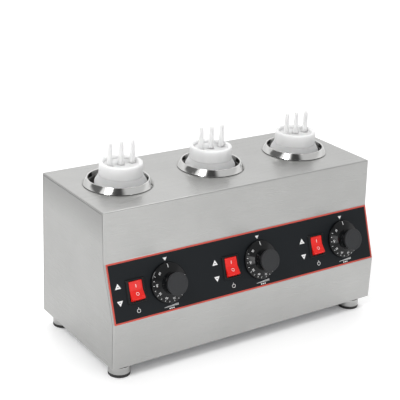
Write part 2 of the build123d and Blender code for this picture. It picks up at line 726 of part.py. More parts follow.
for zone, zone_x in ZONES:
    switch_x = zone_x + SWITCH_DX
    with BuildPart() as switch_housing:
        with BuildSketch(panel_face(switch_x, h=SWITCH_BACK_H)):
            RectangleRounded(*SWITCH_BODY, 1.5)
        extrude(amount=OVERLAY - SWITCH_BACK_H)
        with BuildSketch(panel_face(switch_x, h=OVERLAY)):
            RectangleRounded(BEZEL[0], BEZEL[1], 2.0)
        extrude(amount=BEZEL[2], taper=22)
        with BuildSketch(panel_face(switch_x, h=CAVITY_H)):
            RectangleRounded(*SWITCH_OPENING, 0.8)
        extrude(amount=BEZEL_TOP_H - CAVITY_H + 1, mode=Mode.SUBTRACT)
        pin_plane = Plane(
            origin=panel_point(switch_x, 0, PIVOT_H), x_dir=PANEL_UP, z_dir=(1, 0, 0)
        )
        with BuildSketch(pin_plane):
            Circle(PIVOT_PIN_R + RUNNING)
        extrude(amount=PIVOT_PIN_LENGTH / 2 + 0.1, both=True, mode=Mode.SUBTRACT)
    save(switch_housing, f"switch_housing_{zone}")

    with BuildPart() as rocker:
        side_plane = Plane(
            origin=panel_point(switch_x - PADDLE_WIDTH / 2, 0, PIVOT_H),
            x_dir=PANEL_UP,
            z_dir=(1, 0, 0),
        )
        with BuildSketch(turned(side_plane, about_z=-PADDLE_HALF_TILT)) as rocker_section:
            foot_angle = math.degrees(math.asin(PADDLE_FOOT / PADDLE_R))
            tip_angle = math.degrees(math.asin(TIP_H / PADDLE_R))
            with BuildLine():
                upper_end = CenterArc((0, 0), PADDLE_R, foot_angle, tip_angle - foot_angle)
                lower_end = CenterArc((0, 0), PADDLE_R, 180 - tip_angle, tip_angle - foot_angle)
                Polyline(upper_end @ 1, (0, VALLEY_H), lower_end @ 0)
                Line(lower_end @ 1, upper_end @ 0)
            make_face()
            fillet(rocker_section.vertices().filter_by(lambda v: v.Y > TIP_H - 0.5), 1.0)
            fillet(rocker_section.vertices().filter_by(lambda v: abs(v.X) < 0.1), 6.0)
        extrude(amount=PADDLE_WIDTH)
        pin_plane = Plane(
            origin=panel_point(switch_x, 0, PIVOT_H), x_dir=PANEL_UP, z_dir=(1, 0, 0)
        )
        with BuildSketch(pin_plane):
            Circle(PIVOT_PIN_R)
        extrude(amount=PIVOT_PIN_LENGTH / 2, both=True)
    save(rocker, f"rocker_{zone}")

    with BuildPart() as rocker_marks:
        upper_face = pivot_plane(switch_x, 0)
        with BuildSketch(upper_face.offset(FACE_OFFSET - MARK_SUNK)):
            with Locations((0, ON_MARK_U)):
                Rectangle(*ON_MARK)
        extrude(amount=MARK_THICK)
        lower_face = pivot_plane(switch_x, -2 * PADDLE_HALF_TILT)
        with BuildSketch(lower_face.offset(FACE_OFFSET - MARK_SUNK)):
            with Locations((0, OFF_MARK_U)):
                Circle(OFF_MARK_R[0])
                Circle(OFF_MARK_R[1], mode=Mode.SUBTRACT)
        extrude(amount=MARK_THICK)
    save(rocker_marks, f"rocker_marks_{zone}")

with BuildPart() as switch_terminals:
    for _, zone_x in ZONES:
        with BuildSketch(panel_face(zone_x + SWITCH_DX, h=SWITCH_BACK_H)):
            with GridLocations(0, 2 * SWITCH_TAB_U, 1, 2):
                Rectangle(*TAB)
        extrude(amount=-TAB_LENGTH)
save(switch_terminals, "switch_terminals")

# ------------------------------------------------------------------ bottles
KICK_Z = WELL_FLOOR_Z + BOTTLE_KICK
for zone, zone_x in ZONES:
    bottle_x = zone_x + BOTTLE_OFFSETS[zone][0]
    bottle_y = WELL_Y + BOTTLE_OFFSETS[zone][1]
    with BuildPart() as bottle:
        with BuildSketch(upright(bottle_x, bottle_y)) as bottle_section:
            with BuildLine():
                Polyline(
                    (0, KICK_Z),
                    (BOTTLE_STAND_R - 3, KICK_Z),
                    (BOTTLE_STAND_R, WELL_FLOOR_Z),
                    (BOTTLE_R - 3, WELL_FLOOR_Z),
                    (BOTTLE_R, WELL_FLOOR_Z + 3),
                    (BOTTLE_R, SHOULDER_Z),
                    (SHOULDER_TOP_R, NECK_BASE_Z),
                    (NECK_R, NECK_BASE_Z),
                    (NECK_R, NECK_TOP_Z),
                    (NECK_R - NECK_WALL, NECK_TOP_Z),
                    (NECK_R - NECK_WALL, NECK_BASE_Z - BOTTLE_WALL),
                    (SHOULDER_TOP_R - BOTTLE_WALL / 2, NECK_BASE_Z - BOTTLE_WALL),
                    (BOTTLE_R - BOTTLE_WALL, SHOULDER_Z - BOTTLE_WALL / 3),
                    (BOTTLE_R - BOTTLE_WALL, KICK_Z + BOTTLE_WALL),
                    (0, KICK_Z + BOTTLE_WALL),
                    close=True,
                )
            make_face()
            shoulder = bottle_section.vertices().filter_by(
                lambda v: abs(v.Y - SHOULDER_Z) < 0.5 and v.X > BOTTLE_R - 2
            )
            fillet(shoulder, 5)
        revolve(axis=upright_axis(bottle_x, bottle_y))
    save(bottle, f"bottle_{zone}")

    with BuildPart() as cap_seal:
        with BuildSketch(Plane.XY.offset(NECK_TOP_Z)):
            with Locations((bottle_x, bottle_y)):
                Circle(NECK_R)
                Circle(NECK_R - 5, mode=Mode.SUBTRACT)
        extrude(amount=SEAL_THICK)
    save(cap_seal, f"cap_seal_{zone}")

    with BuildPart() as bottle_cap:
        with BuildSketch(upright(bottle_x, bottle_y)) as cap_section:
            with BuildLine():
                Polyline(
                    (0, NECK_TOP_Z + SEAL_THICK),
                    (NECK_R + THREAD_GAP, NECK_TOP_Z + SEAL_THICK),
                    (NECK_R + THREAD_GAP, CAP_BASE_Z),
                    (CAP_R, CAP_BASE_Z),
                    (CAP_TOP_R, CAP_TOP_Z),
                    (CAP_RECESS_R, CAP_TOP_Z),
                    (CAP_RECESS_R - 0.4, CAP_FLOOR_Z),
                    (0, CAP_FLOOR_Z),
                    close=True,
                )
            make_face()
            fillet(cap_section.vertices().group_by(Axis.Y)[-1], 2.3)
        revolve(axis=upright_axis(bottle_x, bottle_y))
        for nozzle in (-1, 0, 1):
            nozzle_x = bottle_x + nozzle * NOZZLE_PITCH
            with BuildSketch(upright(nozzle_x, bottle_y)) as nozzle_section:
                with BuildLine():
                    Polyline(
                        (0, CAP_FLOOR_Z - 1),
                        (NOZZLE_BASE_R, CAP_FLOOR_Z - 1),
                        (NOZZLE_TIP_R, NOZZLE_TOP_Z),
                        (0, NOZZLE_TOP_Z),
                        close=True,
                    )
                make_face()
                tip = nozzle_section.vertices().group_by(Axis.Y)[-1].sort_by(Axis.X)[-1]
                fillet(tip, 0.7)
            revolve(axis=upright_axis(nozzle_x, bottle_y))
        with BuildSketch(Plane.XY.offset(NECK_TOP_Z)):
            with Locations((bottle_x, bottle_y)):
                with GridLocations(NOZZLE_PITCH, 0, 3, 1):
                    Circle(NOZZLE_BORE_R)
        extrude(amount=NOZZLE_TOP_Z, mode=Mode.SUBTRACT)
    save(bottle_cap, f"bottle_cap_{zone}")

# ------------------------------------------------------------------ feet
with BuildPart() as foot_pads:
    for foot_x, foot_y in FEET:
        with BuildSketch(upright(foot_x, foot_y)) as pad_section:
            with BuildLine():
                Polyline(
                    (0, 0),
                    (FOOT_R - 0.2, 0),
                    (FOOT_R, PAD_HEIGHT),
                    (FOOT_R - CUP_SHEET - 0.4, PAD_HEIGHT),
                    (FOOT_R - CUP_SHEET - 0.4, PAD_HEIGHT + PAD_PLUG),
                    (0, PAD_HEIGHT + PAD_PLUG),
                    close=True,
                )
            make_face()
        revolve(axis=upright_axis(foot_x, foot_y))
save(foot_pads, "foot_pads")

with BuildPart() as foot_cups:
    for foot_x, foot_y in FEET:
        with BuildSketch(upright(foot_x, foot_y)) as cup_section:
            with BuildLine():
                Polyline(
                    (FOOT_R, PAD_HEIGHT),
                    (FOOT_R - 0.5, CUP_TOP_Z),
                    (CUP_NECK_R, CUP_TOP_Z + 0.8),
                    (CUP_NECK_R - 1, PLATE_Z),
                    (FOOT_BOLT_R + 0.2, PLATE_Z),
                    (FOOT_BOLT_R + 0.2, CUP_TOP_Z - CUP_SHEET),
                    (FOOT_R - CUP_SHEET - 0.5, CUP_TOP_Z - CUP_SHEET),
                    (FOOT_R - CUP_SHEET - 0.3, PAD_HEIGHT),
                    close=True,
                )
            make_face()
            rounded = cup_section.vertices().filter_by(
                lambda v: v.X > FOOT_R - 1 and v.Y > PAD_HEIGHT + 1
            )
            fillet(rounded, 1.5)
        revolve(axis=upright_axis(foot_x, foot_y))
save(foot_cups, "foot_cups")

with BuildPart() as foot_bolts:
    with BuildSketch(Plane.XY.offset(CUP_TOP_Z - CUP_SHEET)):
        with Locations(*FEET):
            RegularPolygon(HEX_R, 6)
    extrude(amount=-FOOT_BOLT_HEAD)
    with BuildSketch(Plane.XY.offset(CUP_TOP_Z - CUP_SHEET)):
        with Locations(*FEET):
            Circle(FOOT_BOLT_R)
    extrude(amount=PLATE_TOP_Z - CUP_TOP_Z + 9)
save(foot_bolts, "foot_bolts")

with BuildPart() as foot_nuts:
    with BuildSketch(Plane.XY.offset(PLATE_TOP_Z)):
        with Locations(*FEET):
            RegularPolygon(HEX_R, 6)
            Circle(FOOT_BOLT_R + THREAD_FIT, mode=Mode.SUBTRACT)
    extrude(amount=NUT_THICK)
save(foot_nuts, "foot_nuts")

# ------------------------------------------------------------------ casing screws
with BuildPart() as casing_screws:
    with BuildSketch(Plane.XY.offset(BASE_Z)):
        with Locations(*BASE_SCREWS):
            Circle(SCREW_HEAD_R)
    extrude(amount=-SCREW_HEAD)
    with BuildSketch(Plane.XY.offset(BASE_Z)):
        with Locations(*BASE_SCREWS):
            Circle(SCREW_R)
    extrude(amount=6)
    with BuildSketch(Plane.XZ.offset(-BACK_Y)):
        with Locations(*BACK_SCREWS):
            Circle(SCREW_HEAD_R)
    extrude(amount=-SCREW_HEAD)
    with BuildSketch(Plane.XZ.offset(-BACK_Y)):
        with Locations(*BACK_SCREWS):
            Circle(SCREW_R)
    extrude(amount=6)
save(casing_screws, "casing_screws")

# ------------------------------------------------------------------ cable gland
BACK_FACE = Plane(origin=(GLAND_X, BACK_Y, GLAND_Z), x_dir=(1, 0, 0), z_dir=(0, 1, 0))
with BuildPart() as gland_body:
    with BuildSketch(BACK_FACE):
        RegularPolygon(GLAND_HEX_R, 6)
    extrude(amount=GLAND_HEX)
    with BuildSketch(BACK_FACE):
        Circle(GLAND_THREAD_R)
    extrude(amount=-GLAND_THREAD)
    with BuildSketch(BACK_FACE.offset(GLAND_HEX)):
        Circle(GLAND_SPIGOT_R)
    extrude(amount=GLAND_SPIGOT)
    with BuildSketch(BACK_FACE.offset(-GLAND_THREAD)):
        Circle(SEAL_R)
    extrude(amount=GLAND_THREAD + GLAND_HEX + GLAND_SPIGOT, mode=Mode.SUBTRACT)
save(gland_body, "gland_body")

DOME_FOOT = GLAND_HEX + DOME_GAP
with BuildPart() as gland_dome_nut:
    with BuildSketch(BACK_FACE.offset(DOME_FOOT)):
        RegularPolygon(GLAND_HEX_R, 6)
    extrude(amount=DOME_HEX)
    with BuildSketch(BACK_FACE.offset(DOME_FOOT + DOME_HEX)):
        Circle(DOME_R)
    extrude(amount=GLAND_OUT - DOME_FOOT - DOME_HEX, taper=28)
    with BuildSketch(BACK_FACE.offset(DOME_FOOT)):
        Circle(GLAND_SPIGOT_R + RUNNING)
    extrude(amount=GLAND_SPIGOT - 0.1, mode=Mode.SUBTRACT)
    with BuildSketch(BACK_FACE.offset(DOME_FOOT)):
        Circle(DOME_MOUTH_R)
    extrude(amount=GLAND_OUT, mode=Mode.SUBTRACT)
save(gland_dome_nut, "gland_dome_nut")

with BuildPart() as gland_seal:
    with BuildSketch(BACK_FACE.offset(GLAND_HEX + GLAND_SPIGOT)):
        Circle(SEAL_R - THREAD_FIT)
        Circle(CORD_HOLE_R, mode=Mode.SUBTRACT)
    extrude(amount=-SEAL_LENGTH)
save(gland_seal, "gland_seal")

with BuildPart() as gland_locknut:
    with BuildSketch(BACK_FACE.offset(-SHEET)):
        RegularPolygon(GLAND_HEX_R - 0.5, 6)
        Circle(GLAND_THREAD_R + THREAD_FIT, mode=Mode.SUBTRACT)
    extrude(amount=-LOCKNUT)
save(gland_locknut, "gland_locknut")

# ------------------------------------------------------------------ wiring inside the casing
with BuildPart() as terminal_block:
    with BuildSketch(Plane.XY.offset(PLATE_TOP_Z)):
        with Locations((BLOCK_X, BLOCK_Y)):
            RectangleRounded(*BLOCK_SIZE, 2)
    extrude(amount=BLOCK_TOP_Z - PLATE_TOP_Z)
    with BuildSketch(Plane.XY.offset(BLOCK_TOP_Z)):
        for pole in (-7, 7):
            with Locations((BLOCK_X + pole, BLOCK_Y)):
                Rectangle(BLOCK_FIN[0], BLOCK_FIN[1])
    extrude(amount=BLOCK_FIN[2])
save(terminal_block, "terminal_block")

with BuildPart() as earth_stud:
    with BuildSketch(Plane.XY.offset(PLATE_Z)):
        with Locations((EARTH_X, EARTH_Y)):
            Circle(EARTH_R)
    extrude(amount=EARTH_LENGTH)
    with BuildSketch(Plane.XY.offset(PLATE_TOP_Z)):
        with Locations((EARTH_X, EARTH_Y)):
            RegularPolygon(EARTH_NUT_R, 6)
    extrude(amount=EARTH_NUT)
save(earth_stud, "earth_stud")

LEAD_R = BAND_R + WIRE_R + 0.1
LEAD_X = LEAD_R / 2
LEAD_Y = WELL_Y - LEAD_R * math.cos(math.radians(30))
TAB_H = SWITCH_BACK_H - TAB_LENGTH
live_wires = []
neutral_wires = []
for number, (_, zone_x) in enumerate(ZONES):
    switch_x = zone_x + SWITCH_DX
    knob_x = zone_x + KNOB_DX
    pole_x = BLOCK_X + POLES[number]
    run_z = 48 + 4 * number
    switch_lead = panel_point(switch_x, -SWITCH_TAB_U, TAB_H)
    switch_out = panel_point(switch_x, -SWITCH_TAB_U, TAB_H - 10 - 5 * number)
    live_wires.append(
        wire(
            (pole_x + 4, LIVE_Y, BLOCK_TOP_Z),
            (pole_x + 4, LIVE_Y, run_z),
            (pole_x + 4, switch_out[1], run_z),
            (switch_x, switch_out[1], run_z),
            switch_out,
            switch_lead,
        )
    )
    tab_end = THERMOSTAT_BACK_H - TAB_LENGTH
    live_wires.append(
        wire(
            panel_point(switch_x, SWITCH_TAB_U, TAB_H),
            panel_point(switch_x, SWITCH_TAB_U, tab_end - 14),
            panel_point(knob_x - TAB_X, 0, tab_end - 14),
            panel_point(knob_x - TAB_X, 0, tab_end),
        )
    )
    thermostat_out = panel_point(knob_x + TAB_X, 0, tab_end - 10)
    live_wires.append(
        wire(
            panel_point(knob_x + TAB_X, 0, tab_end),
            thermostat_out,
            (knob_x + TAB_X, thermostat_out[1], 76),
            (zone_x + LEAD_X, LEAD_Y, 76),
            (zone_x + LEAD_X, LEAD_Y, HEATER_Z[0]),
        )
    )
    neutral_z = 64 + 7 * number
    neutral_wires.append(
        wire(
            (zone_x - LEAD_X, LEAD_Y, HEATER_Z[0]),
            (zone_x - LEAD_X, LEAD_Y, neutral_z),
            (zone_x - LEAD_X, NEUTRAL_Y, neutral_z),
            (pole_x, NEUTRAL_Y, neutral_z),
            (pole_x, NEUTRAL_Y, BLOCK_TOP_Z),
        )
    )

with BuildPart() as wiring_live:
    add(live_wires)
save(wiring_live, "wiring_live")

with BuildPart() as wiring_neutral:
    add(neutral_wires)
save(wiring_neutral, "wiring_neutral")

earth_wire = wire(
    (BLOCK_X + BLOCK_SIZE[0] / 2, BLOCK_Y, EARTH_WIRE_Z),
    (EARTH_X - 12, BLOCK_Y, EARTH_WIRE_Z),
    (EARTH_X, BLOCK_Y + 10, EARTH_WIRE_Z),
    (EARTH_X, EARTH_Y - EARTH_R - RUNNING, EARTH_WIRE_Z),
)
with BuildPart() as wiring_earth:
    add(earth_wire)
save(wiring_earth, "wiring_earth")
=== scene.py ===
"""Looks of a three-bottle sauce warmer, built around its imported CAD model.

Everything is in metres in the model's own frame: the origin on the floor under the middle,
+X to the right seen from the front, +Y to the back, +Z up.
"""

import json
import math

import bpy
from mathutils import Matrix, Vector


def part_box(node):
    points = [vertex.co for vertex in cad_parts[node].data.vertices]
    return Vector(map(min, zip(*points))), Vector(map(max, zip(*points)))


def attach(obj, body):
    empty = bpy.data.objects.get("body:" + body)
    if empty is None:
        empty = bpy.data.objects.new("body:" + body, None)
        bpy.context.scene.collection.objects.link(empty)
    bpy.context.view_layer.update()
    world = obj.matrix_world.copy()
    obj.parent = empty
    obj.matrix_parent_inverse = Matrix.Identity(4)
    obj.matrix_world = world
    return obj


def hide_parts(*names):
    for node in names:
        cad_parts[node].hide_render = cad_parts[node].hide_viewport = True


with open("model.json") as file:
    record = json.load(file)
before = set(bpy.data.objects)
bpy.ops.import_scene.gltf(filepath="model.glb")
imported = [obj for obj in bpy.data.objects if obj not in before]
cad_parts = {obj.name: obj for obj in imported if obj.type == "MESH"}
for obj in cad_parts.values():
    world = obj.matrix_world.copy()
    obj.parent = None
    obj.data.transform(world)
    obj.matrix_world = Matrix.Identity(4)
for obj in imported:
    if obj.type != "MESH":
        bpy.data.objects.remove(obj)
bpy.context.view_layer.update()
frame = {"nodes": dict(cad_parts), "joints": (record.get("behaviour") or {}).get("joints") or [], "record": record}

MM = 0.001
NODES = frame["nodes"]
JOINTS = {joint["name"]: joint for joint in frame["joints"]}
ZONES = ("left", "middle", "right")
X_AXIS = Vector((1, 0, 0))

# ------------------------------------------------------------------ camera
CAMERA_AT = (-0.94184, -1.29575, 0.82767)
CAMERA_AZIMUTH = -35.11
CAMERA_ELEVATION = 21.32
CAMERA_ROLL = -2.68
CAMERA_LENS = 96.85


def direction(azimuth, elevation):
    """Unit vector towards an azimuth, from the front and positive to the right, in degrees."""
    a, e = math.radians(azimuth), math.radians(elevation)
    return Vector((math.sin(a) * math.cos(e), -math.cos(a) * math.cos(e), math.sin(e)))


def facing(back, roll=0.0):
    """Rotation whose local z axis points along back, level but for a roll in degrees."""
    right = Vector((0, 0, 1)).cross(back).normalized()
    upright = Matrix((right, back.cross(right), back)).transposed()
    return (upright @ Matrix.Rotation(math.radians(roll), 3, "Z")).to_4x4()


def linked(name, data):
    """New object of some data, in the scene."""
    made = bpy.data.objects.new(name, data)
    bpy.context.scene.collection.objects.link(made)
    return made


camera_data = bpy.data.cameras.new("camera")
camera_data.lens = CAMERA_LENS
camera_data.sensor_width = 36.0
camera_data.clip_end = 50.0
camera = linked("camera", camera_data)
camera_turn = facing(direction(CAMERA_AZIMUTH, CAMERA_ELEVATION), -CAMERA_ROLL)
camera.matrix_world = Matrix.Translation(CAMERA_AT) @ camera_turn
bpy.context.scene.camera = camera
bpy.context.scene.view_settings.view_transform = "Standard"


# ------------------------------------------------------------------ node materials
STREAKS = 2600
STREAK_BANDS = 420
# Painted shade: how much darker a side sheet is painted at its top, and over what depth
PAINTED_SHADE_SHARE = -0.32
PAINTED_SHADE_DEPTH = 0.056
# Painted light: the paler colour milky plastic is painted where it is thin, standing in for light through its thin
# walls, and over what height
PAINTED_LIGHT_COLOUR = (0.80, 0.80, 0.80)
PAINTED_LIGHT_DEPTH = 0.012
# The grip's worn top, in height above the panel
WORN_FROM = 0.020
WORN_TO = 0.028


def put(tree, kind, inputs=(), **settings):
    """New shader node with its settings, and its inputs set to values or linked to sockets."""
    node = tree.nodes.new(kind)
    for name, value in settings.items():
        setattr(node, name, value)
    for name, value in dict(inputs).items():
        if isinstance(value, bpy.types.NodeSocket):
            tree.links.new(value, node.inputs[name])
        else:
            node.inputs[name].default_value = value
    return node


def begin(name, **values):
    """New node material, its node tree, its shader and its object coordinates."""
    material = bpy.data.materials.new(name)
    material.use_nodes = True
    tree = material.node_tree
    shader = tree.nodes["Principled BSDF"]
    for socket, value in values.items():
        shader.inputs[socket.replace("_", " ")].default_value = value
    place = put(tree, "ShaderNodeTexCoord").outputs["Object"]
    return material, tree, shader, place


def noise(tree, place, scale, detail=3.0, stretch=(1, 1, 1), offset=(0, 0, 0)):
    """Noise from 0 to 1 over the surface, at a number of features a metre."""
    spread = put(
        tree, "ShaderNodeMapping",
        {"Vector": place, "Scale": [scale * s for s in stretch], "Location": offset},
    )
    made = put(
        tree, "ShaderNodeTexNoise",
        {"Vector": spread.outputs["Vector"], "Scale": 1.0, "Detail": detail, "Roughness": 0.6},
    )
    return made.outputs["Fac"]


def between(tree, value, low, high, start=0.3, end=0.7):
    """Value rescaled from start..end to low..high."""
    return put(
        tree, "ShaderNodeMapRange",
        {"Value": value, "From Min": start, "From Max": end, "To Min": low, "To Max": high},
    ).outputs["Result"]


def tint(tree, factor, dark, light):
    """Colour between two colours by a factor."""
    mix = put(tree, "ShaderNodeMix", data_type="RGBA")
    tree.links.new(factor, mix.inputs["Factor"])
    mix.inputs[6].default_value = (*dark, 1)
    mix.inputs[7].default_value = (*light, 1)
    return mix.outputs[2]


def shade(colour, amount):
    """Colour made lighter or darker by a share."""
    return tuple(min(1.0, c * (1 + amount)) for c in colour)


def fade_up(tree, colour, other, place, start, depth):
    """Colour from a socket that turns into another colour over a depth above a height."""
    height = put(tree, "ShaderNodeSeparateXYZ", {"Vector": place}).outputs["Z"]
    part = between(tree, height, 0.0, 1.0, start, start + depth)
    mix = put(tree, "ShaderNodeMix", {"Factor": part}, data_type="RGBA")
    tree.links.new(colour, mix.inputs[6])
    mix.inputs[7].default_value = (*other, 1)
    return mix.outputs[2]


def dent(tree, shader, height, distance, strength=1.0):
    """Bump from a height, over a depth in metres."""
    bump = put(
        tree, "ShaderNodeBump", {"Height": height, "Distance": distance, "Strength": strength}
    )
    tree.links.new(bump.outputs["Normal"], shader.inputs["Normal"])


def brushed(name, colour, grain, pull, rough=(0.26, 0.33), depth=0.000003, painted_shade_above=None):
    """Brushed steel: grain is the stretch of the streaks, pull the direction reflections spread.

    With painted_shade_above, a height in metres, the sheet is painted darker above it, as painted shade.
    """
    material, tree, shader, place = begin(name, Metallic=1.0, Anisotropic=0.55)
    streak = noise(tree, place, STREAKS, 4, grain)
    band = noise(tree, place, STREAK_BANDS, 4, grain, (3, 7, 1))
    cloud = noise(tree, place, 14, 3)
    link = tree.links.new
    mixed = put(tree, "ShaderNodeMath", {0: band, 1: 0.3, 2: cloud}, operation="MULTIPLY_ADD")
    level = between(tree, mixed.outputs[0], 0.0, 1.0, 0.45, 0.85)
    steel = tint(tree, level, shade(colour, -0.035), shade(colour, 0.035))
    # Painted shade: the sheet is painted darker above the height
    if painted_shade_above:
        steel = fade_up(tree, steel, shade(colour, PAINTED_SHADE_SHARE), place, painted_shade_above, PAINTED_SHADE_DEPTH)
    link(steel, shader.inputs["Base Color"])
    link(between(tree, streak, *rough), shader.inputs["Roughness"])
    vector = put(tree, "ShaderNodeCombineXYZ", dict(zip("XYZ", pull)))
    link(vector.outputs["Vector"], shader.inputs["Tangent"])
    dent(tree, shader, streak, depth)
    return material


def polished(name, colour, rough=(0.07, 0.13), depth=0.000004):
    """Polished steel with faint rubbing marks."""
    material, tree, shader, place = begin(name, Metallic=1.0)
    link = tree.links.new
    wipe = noise(tree, place, 420, 4, (1, 1, 6))
    cloud = noise(tree, place, 40, 2)
    link(tint(tree, cloud, shade(colour, -0.05), shade(colour, 0.05)), shader.inputs["Base Color"])
    link(between(tree, wipe, *rough), shader.inputs["Roughness"])
    dent(tree, shader, wipe, depth)
    return material


def spangled(name, colour, grain=190.0, rough=(0.28, 0.45)):
    """Zinc-coated steel with its crystal pattern."""
    material, tree, shader, place = begin(name, Metallic=1.0)
    link = tree.links.new
    crystal = put(tree, "ShaderNodeTexVoronoi", {"Vector": place, "Scale": grain})
    level = put(tree, "ShaderNodeSeparateColor", {"Color": crystal.outputs["Color"]}).outputs[0]
    link(tint(tree, level, shade(colour, -0.14), shade(colour, 0.10)), shader.inputs["Base Color"])
    link(between(tree, level, *rough, 0, 1), shader.inputs["Roughness"])
    dent(tree, shader, noise(tree, place, 900), 0.00001)
    return material


def moulded(name, colour, rough, texture=1500.0, depth=0.00001, vary=0.08, **values):
    """Moulded plastic or rubber: a fine skin texture, and slow changes of colour and gloss."""
    material, tree, shader, place = begin(name, **values)
    link = tree.links.new
    skin = noise(tree, place, texture, 3)
    cloud = noise(tree, place, 60, 2, offset=(2, 5, 9))
    link(tint(tree, cloud, shade(colour, -vary), shade(colour, vary)), shader.inputs["Base Color"])
    link(between(tree, cloud, *rough), shader.inputs["Roughness"])
    dent(tree, shader, skin, depth)
    return material


def milky(name, colour, rough, weight, radius, painted_light_above=None):
    """Milky plastic that light soaks into, painted paler above a height in metres as painted light through its
    thin walls.
    """
    material = moulded(
        name, colour, rough, texture=700.0, depth=0.00001, vary=0.015, Specular_IOR_Level=0.12,
        Subsurface_Weight=weight, Subsurface_Radius=(1.0, 1.0, 1.0), Subsurface_Scale=radius,
    )
    # Painted light: paler colour above the height, standing in for light through thin walls
    if painted_light_above:
        tree = material.node_tree
        base = tree.nodes["Principled BSDF"].inputs["Base Color"]
        place = put(tree, "ShaderNodeTexCoord").outputs["Object"]
        own_colour = base.links[0].from_socket
        painted_light = fade_up(tree, own_colour, PAINTED_LIGHT_COLOUR, place, painted_light_above, PAINTED_LIGHT_DEPTH)
        tree.links.new(painted_light, base)
    return material


def knob_plastic(name):
    """Glossy black dial under a grip that has been worn matt towards its top."""
    joint = JOINTS["knob_turn_left"]
    out = -Vector(joint["axis"]).normalized()
    foot = out.dot(Vector(joint["pos_m"]))
    material, tree, shader, place = begin(name, Specular_IOR_Level=0.25)
    link = tree.links.new
    rise = put(tree, "ShaderNodeVectorMath", {0: place, 1: out}, operation="DOT_PRODUCT")
    worn = between(tree, rise.outputs["Value"], 0.0, 1.0, foot + WORN_FROM, foot + WORN_TO)
    skin = noise(tree, place, 2600, 3)
    dial, top = (0.004, 0.0045, 0.005), (0.026, 0.027, 0.029)
    link(tint(tree, worn, dial, top), shader.inputs["Base Color"])
    link(between(tree, worn, 0.10, 0.60, 0, 1), shader.inputs["Roughness"])
    dent(tree, shader, skin, 0.000008)
    return material


# Height above which the cap is painted paler, as painted light
CAP_RIM_Z = 0.291
# Height above which the side sheets are painted darker, as painted shade
SIDE_PAINTED_SHADE_Z = 0.205
GRAIN_X = (0.003, 1, 1)
GRAIN_Y = (1, 0.003, 1)
STEEL = (0.41, 0.41, 0.403)
UP_AND_BACK = (0, 1, 1)
UPWARDS = (0, 0, 1)
MATERIALS = {
    "stainless_brushed": brushed("stainless_brushed", STEEL, GRAIN_X, UP_AND_BACK),
    # Side sheets: brushed steel with its grain front to back, painted darker than the top sheet as painted shade
    "stainless_side_painted_shade": brushed(
        "stainless_side_painted_shade", shade(STEEL, -0.08), GRAIN_Y, UPWARDS, painted_shade_above=SIDE_PAINTED_SHADE_Z
    ),
    "stainless_polished": polished("stainless_polished", (0.66, 0.66, 0.65), (0.08, 0.15)),
    # Foot cups: polished steel painted far darker than the rings, painted shade standing in for the darker
    # surroundings they reflect
    "stainless_cup_painted_shade": polished("stainless_cup_painted_shade", (0.38, 0.38, 0.375), (0.08, 0.14)),
    # Inside of the wells: steel painted dark, painted shade of the deep wells
    "stainless_inner": brushed(
        "stainless_inner", (0.20, 0.20, 0.195), (1, 1, 0.01), UPWARDS, (0.4, 0.55)
    ),
    "galvanised": spangled("galvanised", (0.55, 0.56, 0.58)),
    "zinc_fastener": spangled("zinc_fastener", (0.66, 0.66, 0.64), 900.0, (0.25, 0.38)),
    "overlay_black": moulded(
        "overlay_black", (0.006, 0.008, 0.010), (0.42, 0.5), 2200.0, 0.000006,
        Specular_IOR_Level=0.15,
    ),
    "overlay_red": moulded(
        "overlay_red", (0.52, 0.07, 0.05), (0.42, 0.5), 2200.0, 0.000006, 0.04,
        Specular_IOR_Level=0.25,
    ),
    "print_white": moulded("print_white", (0.74, 0.74, 0.74), (0.5, 0.6), 1800.0, 0.00001, 0.03),
    "black_plastic": moulded(
        "black_plastic", (0.006, 0.0065, 0.007), (0.30, 0.38), 2600.0, 0.000012,
        Specular_IOR_Level=0.18,
    ),
    "knob_plastic": knob_plastic("knob_plastic"),
    "red_plastic": moulded(
        "red_plastic", (0.70, 0.016, 0.012), (0.2, 0.28), 600.0, 0.000004, 0.05,
        Specular_IOR_Level=0.3, Subsurface_Weight=0.2, Subsurface_Radius=(1.0, 0.2, 0.1),
        Subsurface_Scale=0.001,
    ),
    "bottle_plastic": milky("bottle_plastic", (0.94, 0.94, 0.94), (0.5, 0.6), 0.9, 0.012),
    "cap_plastic": milky("cap_plastic", (0.715, 0.715, 0.715), (0.5, 0.6), 0.9, 0.010, CAP_RIM_Z),
    "seal_rubber": moulded("seal_rubber", (0.72, 0.72, 0.70), (0.55, 0.65), 900.0),
    "black_rubber": moulded("black_rubber", (0.012, 0.012, 0.012), (0.55, 0.7), 1200.0, 0.00003),
    "brass": spangled("brass", (0.72, 0.55, 0.26), 700.0, (0.25, 0.35)),
    "copper_tube": spangled("copper_tube", (0.72, 0.40, 0.26), 500.0, (0.3, 0.42)),
    "wire_brown": moulded("wire_brown", (0.16, 0.06, 0.025), (0.35, 0.45), 900.0),
    "wire_blue": moulded("wire_blue", (0.03, 0.10, 0.42), (0.35, 0.45), 900.0),
    "wire_green": moulded("wire_green", (0.13, 0.42, 0.07), (0.35, 0.45), 900.0),
    "block_plastic": moulded("block_plastic", (0.72, 0.70, 0.64), (0.4, 0.5), 900.0),
}
# Sheets and cups that take painted-shade copies of the steel materials
OWN_FINISH = {
    "side_panel_left": "stainless_side_painted_shade",
    "side_panel_right": "stainless_side_painted_shade",
    "foot_cups": "stainless_cup_painted_shade",
}


def finish(piece, material):
    """Give a piece one material."""
    piece.data.materials.clear()
    piece.data.materials.append(MATERIALS[material])


for subpart in frame["record"]["subparts"]:
    node = subpart["node"]
    finish(NODES[node], OWN_FINISH.get(node, subpart["material_slot"]))


